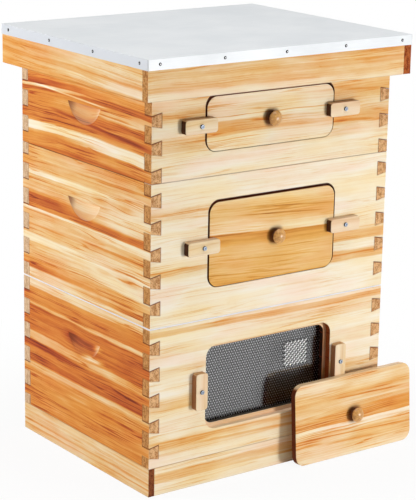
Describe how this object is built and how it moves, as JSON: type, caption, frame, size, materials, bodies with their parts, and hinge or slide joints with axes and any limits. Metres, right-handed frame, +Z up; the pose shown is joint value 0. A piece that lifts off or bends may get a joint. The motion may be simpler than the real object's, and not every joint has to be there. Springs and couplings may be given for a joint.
{
  "type": "beehive",
  "caption": "Stacked wooden beehive with dovetailed boxes, covered observation windows on turn buttons, hanging frames and a metal-capped lift-off roof.",
  "frame": {"origin": "on the ground, under the middle of the boxes", "axes": "+X along the window side to the right as seen from the front, towards the entrance; -Y out of the window side; +Z up"},
  "size_m": [0.5892, 0.4852, 0.754],
  "materials": {
    "base_wood": "waxed, satin",
    "box_wood": "waxed, satin",
    "cover_wood": "waxed, satin",
    "button_wood": "waxed, satin",
    "knob_wood": "turned, polished",
    "frame_wood": "plain sawn",
    "inner_cover_wood": "plain sawn",
    "roof_wood": "waxed, satin",
    "roof_metal": "pale, satin sheet",
    "fastener_steel": "bright",
    "clear_pane": "clear, glossy",
    "foundation_plastic": "black, moulded with a cell pattern",
    "excluder_plastic": "white"
  },
  "bodies": {
    "base": {"base_front_rail": "base_wood", "base_back_rail": "base_wood", "base_left_rail": "base_wood", "base_floor_planks": "base_wood", "base_centre_batten": "base_wood"},
    "entrance_reducer": {"entrance_reducer": "base_wood"},
    "loose_cover": {"lower_window_cover": "cover_wood", "lower_cover_knob": "knob_wood"},
    "lower_box": {"lower_front_board": "box_wood", "lower_back_board": "box_wood", "lower_left_board": "box_wood", "lower_right_board": "box_wood", "lower_pane": "clear_pane", "lower_pane_screws": "fastener_steel", "lower_button_screws": "fastener_steel"},
    "lower_frames": {"lower_frame_top_bars": "frame_wood", "lower_frame_side_and_bottom_bars": "frame_wood", "lower_foundations": "foundation_plastic"},
    "lower_left_button": {"lower_left_button": "button_wood"},
    "lower_right_button": {"lower_right_button": "button_wood"},
    "middle_box": {"middle_front_board": "box_wood", "middle_back_board": "box_wood", "middle_left_board": "box_wood", "middle_right_board": "box_wood", "middle_pane": "clear_pane", "middle_pane_screws": "fastener_steel", "middle_button_screws": "fastener_steel", "middle_window_cover": "cover_wood", "middle_cover_knob": "knob_wood"},
    "middle_frames": {"middle_frame_top_bars": "frame_wood", "middle_frame_side_and_bottom_bars": "frame_wood", "middle_foundations": "foundation_plastic"},
    "middle_left_button": {"middle_left_button": "button_wood"},
    "middle_right_button": {"middle_right_button": "button_wood"},
    "top_box": {"top_front_board": "box_wood", "top_back_board": "box_wood", "top_left_board": "box_wood", "top_right_board": "box_wood", "top_pane": "clear_pane", "top_pane_screws": "fastener_steel", "top_button_screws": "fastener_steel", "top_window_cover": "cover_wood", "top_cover_knob": "knob_wood"},
    "top_frames": {"top_frame_top_bars": "frame_wood", "top_frame_side_and_bottom_bars": "frame_wood", "top_foundations": "foundation_plastic"},
    "top_left_button": {"top_left_button": "button_wood"},
    "top_right_button": {"top_right_button": "button_wood"},
    "queen_excluder": {"queen_excluder": "excluder_plastic"},
    "inner_cover": {"inner_cover_rails": "inner_cover_wood", "inner_cover_board": "inner_cover_wood"},
    "roof": {"roof_rim_front": "roof_wood", "roof_rim_right": "roof_wood", "roof_rim_back": "roof_wood", "roof_rim_left": "roof_wood", "roof_top_board": "roof_wood", "roof_metal_cap": "roof_metal", "roof_nails": "fastener_steel"}
  },
  "joints": [
    {"name": "entrance_reducer_slide", "type": "slide", "parent": "base", "child": "entrance_reducer", "axis": [1, 0, 0], "range_m": [0, 0.08]},
    {"name": "loose_cover_slide", "type": "slide", "parent": "base", "child": "loose_cover", "axis": [0, -1, 0], "range_m": [0, 0.15]},
    {"name": "lower_box_lift", "type": "slide", "parent": "base", "child": "lower_box", "axis": [0, 0, 1], "range_m": [0, 0.1]},
    {"name": "lower_frames_lift", "type": "slide", "parent": "lower_box", "child": "lower_frames", "axis": [0, 0, 1], "range_m": [0, 0.25]},
    {"name": "queen_excluder_lift", "type": "slide", "parent": "lower_frames", "child": "queen_excluder", "axis": [0, 0, 1], "range_m": [0, 0.05]},
    {"name": "middle_box_lift", "type": "slide", "parent": "queen_excluder", "child": "middle_box", "axis": [0, 0, 1], "range_m": [0, 0.1]},
    {"name": "middle_frames_lift", "type": "slide", "parent": "middle_box", "child": "middle_frames", "axis": [0, 0, 1], "range_m": [0, 0.25]},
    {"name": "top_box_lift", "type": "slide", "parent": "middle_frames", "child": "top_box", "axis": [0, 0, 1], "range_m": [0, 0.1]},
    {"name": "top_frames_lift", "type": "slide", "parent": "top_box", "child": "top_frames", "axis": [0, 0, 1], "range_m": [0, 0.17]},
    {"name": "inner_cover_lift", "type": "slide", "parent": "top_frames", "child": "inner_cover", "axis": [0, 0, 1], "range_m": [0, 0.05]},
    {"name": "roof_lift", "type": "slide", "parent": "inner_cover", "child": "roof", "axis": [0, 0, 1], "range_m": [0, 0.12]},
    {"name": "lower_left_button_turn", "type": "hinge", "parent": "lower_box", "child": "lower_left_button", "pos_m": [-0.1525, -0.2114, 0.173], "axis": [0, -1, 0], "continuous": true},
    {"name": "lower_right_button_turn", "type": "hinge", "parent": "lower_box", "child": "lower_right_button", "pos_m": [0.1525, -0.2114, 0.173], "axis": [0, -1, 0], "continuous": true},
    {"name": "middle_left_button_turn", "type": "hinge", "parent": "middle_box", "child": "middle_left_button", "pos_m": [-0.1525, -0.2114, 0.426], "axis": [0, -1, 0], "continuous": true},
    {"name": "middle_right_button_turn", "type": "hinge", "parent": "middle_box", "child": "middle_right_button", "pos_m": [0.1525, -0.2114, 0.426], "axis": [0, -1, 0], "continuous": true},
    {"name": "top_left_button_turn", "type": "hinge", "parent": "top_box", "child": "top_left_button", "pos_m": [-0.1615, -0.2114, 0.633], "axis": [0, -1, 0], "continuous": true},
    {"name": "top_right_button_turn", "type": "hinge", "parent": "top_box", "child": "top_right_button", "pos_m": [0.1435, -0.2114, 0.633], "axis": [0, -1, 0], "continuous": true}
  ]
}
